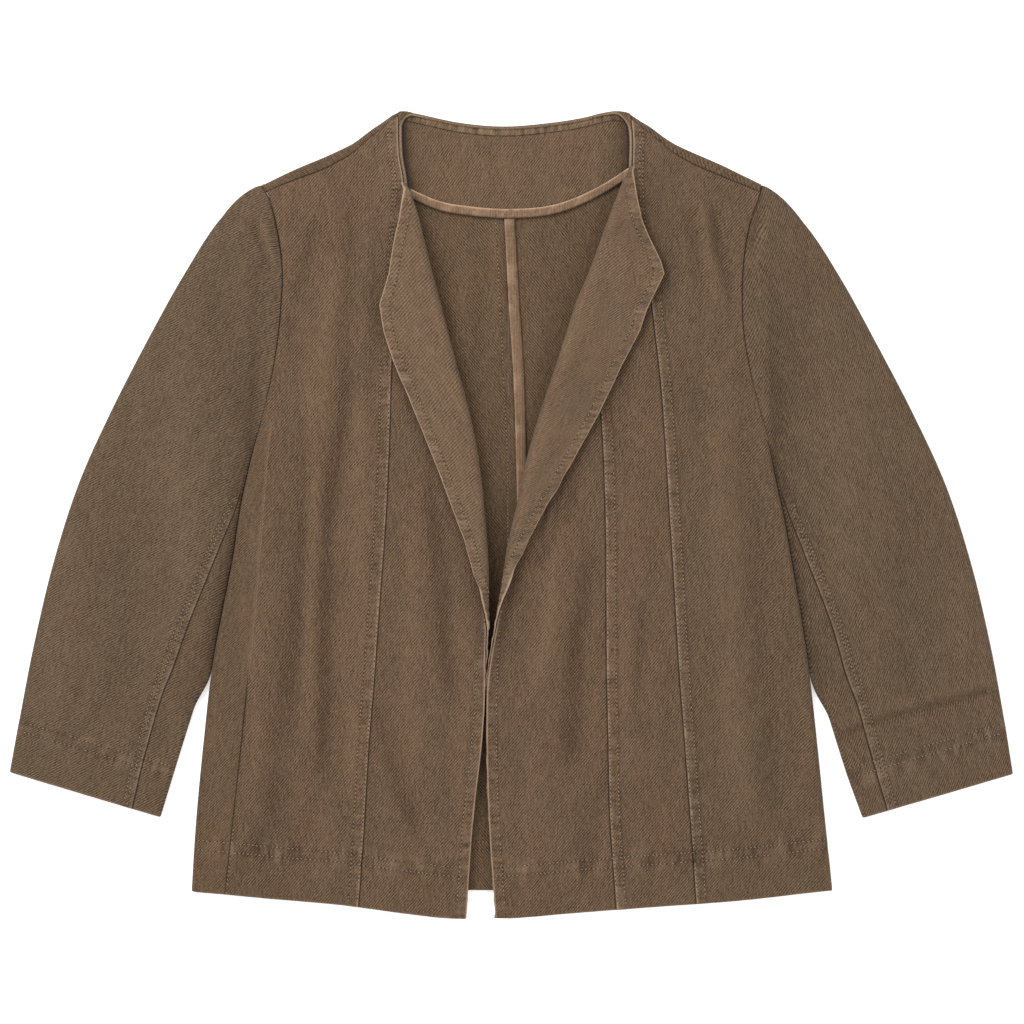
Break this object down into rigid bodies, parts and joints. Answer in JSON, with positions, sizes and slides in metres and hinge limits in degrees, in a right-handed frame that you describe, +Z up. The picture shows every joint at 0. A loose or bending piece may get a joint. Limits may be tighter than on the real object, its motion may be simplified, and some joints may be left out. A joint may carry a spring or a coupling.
{
  "type": "blazer",
  "caption": "Open-front blazer with turned-back lapels and three-quarter sleeves, laid out face up with its panels lying on each other.",
  "frame": {"origin": "on the surface that it lies on, under the middle of its outline", "axes": "+X to the viewer's right across the sleeves, +Y from the hem up to the collar, +Z up off the surface towards the viewer"},
  "size_m": [0.7522, 0.6047, 0.0196],
  "materials": {
    "front_cloth": "matte woven cotton, washed",
    "side_cloth": "matte woven cotton, washed",
    "lapel_cloth": "matte woven cotton, washed",
    "back_cloth": "matte woven cotton, washed",
    "neck_cloth": "matte woven cotton, washed",
    "sleeve_cloth": "matte woven cotton, washed",
    "bias_tape": "matte woven cotton, washed"
  },
  "bodies": {
    "root": {"back_left": "back_cloth", "back_right": "back_cloth", "neck_facing": "neck_cloth", "neck_tape": "bias_tape", "centre_back_tape": "bias_tape", "front_left_side": "front_cloth", "front_left_centre": "front_cloth", "facing_left": "lapel_cloth", "front_right_side": "side_cloth", "front_right_mid": "front_cloth", "front_right_centre": "front_cloth", "facing_right": "lapel_cloth", "sleeve_left_upper": "sleeve_cloth", "sleeve_left_under": "side_cloth", "sleeve_right_upper": "sleeve_cloth", "sleeve_right_under": "side_cloth"}
  },
  "joints": []
}
